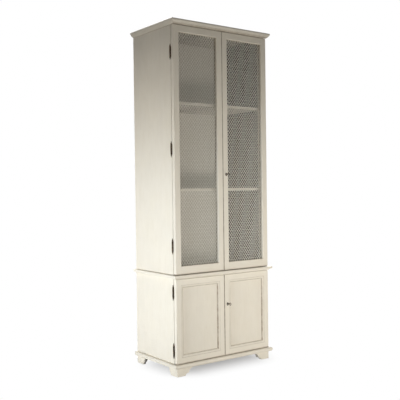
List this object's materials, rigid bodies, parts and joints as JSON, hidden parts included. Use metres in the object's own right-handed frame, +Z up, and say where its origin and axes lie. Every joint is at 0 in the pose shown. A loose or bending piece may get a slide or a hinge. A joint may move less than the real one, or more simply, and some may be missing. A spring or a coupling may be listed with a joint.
{
  "type": "china cabinet",
  "caption": "Tall painted cupboard on bracket feet: panelled doors below, diamond mesh doors above, shelves inside, moulded waist board and cornice, pin hinges and locks with keys.",
  "frame": {"origin": "on the floor, under the middle of the box round the whole cabinet with its keys", "axes": "+Z up, the doors face -Y, +X to the right of someone who faces them"},
  "size_m": [0.813, 0.5164, 2.24],
  "materials": {
    "painted_wood": "cream paint over wood, brown glaze in the corners, satin",
    "mesh": "greige painted wire, matt",
    "hardware": "dark aged bronze, satin"
  },
  "bodies": {
    "cabinet": {"base_moulding_front": "painted_wood", "base_moulding_left": "painted_wood", "base_moulding_right": "painted_wood", "cornice_front": "painted_wood", "cornice_left": "painted_wood", "cornice_right": "painted_wood", "hinge_lower_left_1_case": "hardware", "hinge_lower_left_2_case": "hardware", "hinge_lower_right_1_case": "hardware", "hinge_lower_right_2_case": "hardware", "hinge_upper_left_1_case": "hardware", "hinge_upper_left_2_case": "hardware", "hinge_upper_left_3_case": "hardware", "hinge_upper_right_1_case": "hardware", "hinge_upper_right_2_case": "hardware", "hinge_upper_right_3_case": "hardware", "lower_back": "painted_wood", "lower_bottom": "painted_wood", "lower_magnet_catch": "hardware", "lower_shelf": "painted_wood", "lower_side_left": "painted_wood", "lower_side_right": "painted_wood", "plinth_back": "painted_wood", "plinth_front": "painted_wood", "plinth_left": "painted_wood", "plinth_right": "painted_wood", "top_board": "painted_wood", "upper_back": "painted_wood", "upper_bottom": "painted_wood", "upper_magnet_catch": "hardware", "upper_shelf_high": "painted_wood", "upper_shelf_low": "painted_wood", "upper_side_left": "painted_wood", "upper_side_right": "painted_wood", "waist_board": "painted_wood"},
    "lower_left_door": {"hinge_lower_left_1_door": "hardware", "hinge_lower_left_2_door": "hardware", "lower_door_left_frame": "painted_wood", "lower_door_left_panel": "painted_wood"},
    "lower_right_door": {"hinge_lower_right_1_door": "hardware", "hinge_lower_right_2_door": "hardware", "lower_door_right_frame": "painted_wood", "lower_door_right_panel": "painted_wood", "lower_lock_case": "hardware"},
    "upper_left_door": {"hinge_upper_left_1_door": "hardware", "hinge_upper_left_2_door": "hardware", "hinge_upper_left_3_door": "hardware", "upper_door_left_frame": "painted_wood", "upper_door_left_mesh": "mesh"},
    "upper_right_door": {"hinge_upper_right_1_door": "hardware", "hinge_upper_right_2_door": "hardware", "hinge_upper_right_3_door": "hardware", "upper_door_right_frame": "painted_wood", "upper_door_right_mesh": "mesh", "upper_lock_case": "hardware"},
    "lower_bolt": {"lower_lock_bolt": "hardware"},
    "upper_bolt": {"upper_lock_bolt": "hardware"},
    "lower_turning_key": {"lower_key": "hardware"},
    "upper_turning_key": {"upper_key": "hardware"}
  },
  "joints": [
    {"name": "lower_left_door_hinge", "type": "hinge", "parent": "cabinet", "child": "lower_left_door", "pos_m": [-0.3888, -0.1935, 0.0805], "axis": [0, 0, -1], "range_deg": [0, 180]},
    {"name": "lower_right_door_hinge", "type": "hinge", "parent": "cabinet", "child": "lower_right_door", "pos_m": [0.3888, -0.1935, 0.0805], "axis": [0, 0, 1], "range_deg": [0, 180]},
    {"name": "upper_left_door_hinge", "type": "hinge", "parent": "cabinet", "child": "upper_left_door", "pos_m": [-0.3888, -0.1935, 0.642], "axis": [0, 0, -1], "range_deg": [0, 180]},
    {"name": "upper_right_door_hinge", "type": "hinge", "parent": "cabinet", "child": "upper_right_door", "pos_m": [0.3888, -0.1935, 0.642], "axis": [0, 0, 1], "range_deg": [0, 180]},
    {"name": "lower_key_turn", "type": "hinge", "parent": "lower_right_door", "child": "lower_turning_key", "pos_m": [0.02605, -0.2222, 0.419], "axis": [0, 1, 0], "range_deg": [0, 360]},
    {"name": "lower_bolt_slide", "type": "slide", "parent": "lower_right_door", "child": "lower_bolt", "axis": [-1, 0, 0], "range_m": [0, 0.01]},
    {"name": "upper_key_turn", "type": "hinge", "parent": "upper_right_door", "child": "upper_turning_key", "pos_m": [0.02605, -0.2222, 1.274], "axis": [0, 1, 0], "range_deg": [0, 360]},
    {"name": "upper_bolt_slide", "type": "slide", "parent": "upper_right_door", "child": "upper_bolt", "axis": [-1, 0, 0], "range_m": [0, 0.01]}
  ],
  "couplings": [
    {"joint": "lower_bolt_slide", "follows": "lower_key_turn", "m_per_rad": 0.00159},
    {"joint": "upper_bolt_slide", "follows": "upper_key_turn", "m_per_rad": 0.00159}
  ]
}
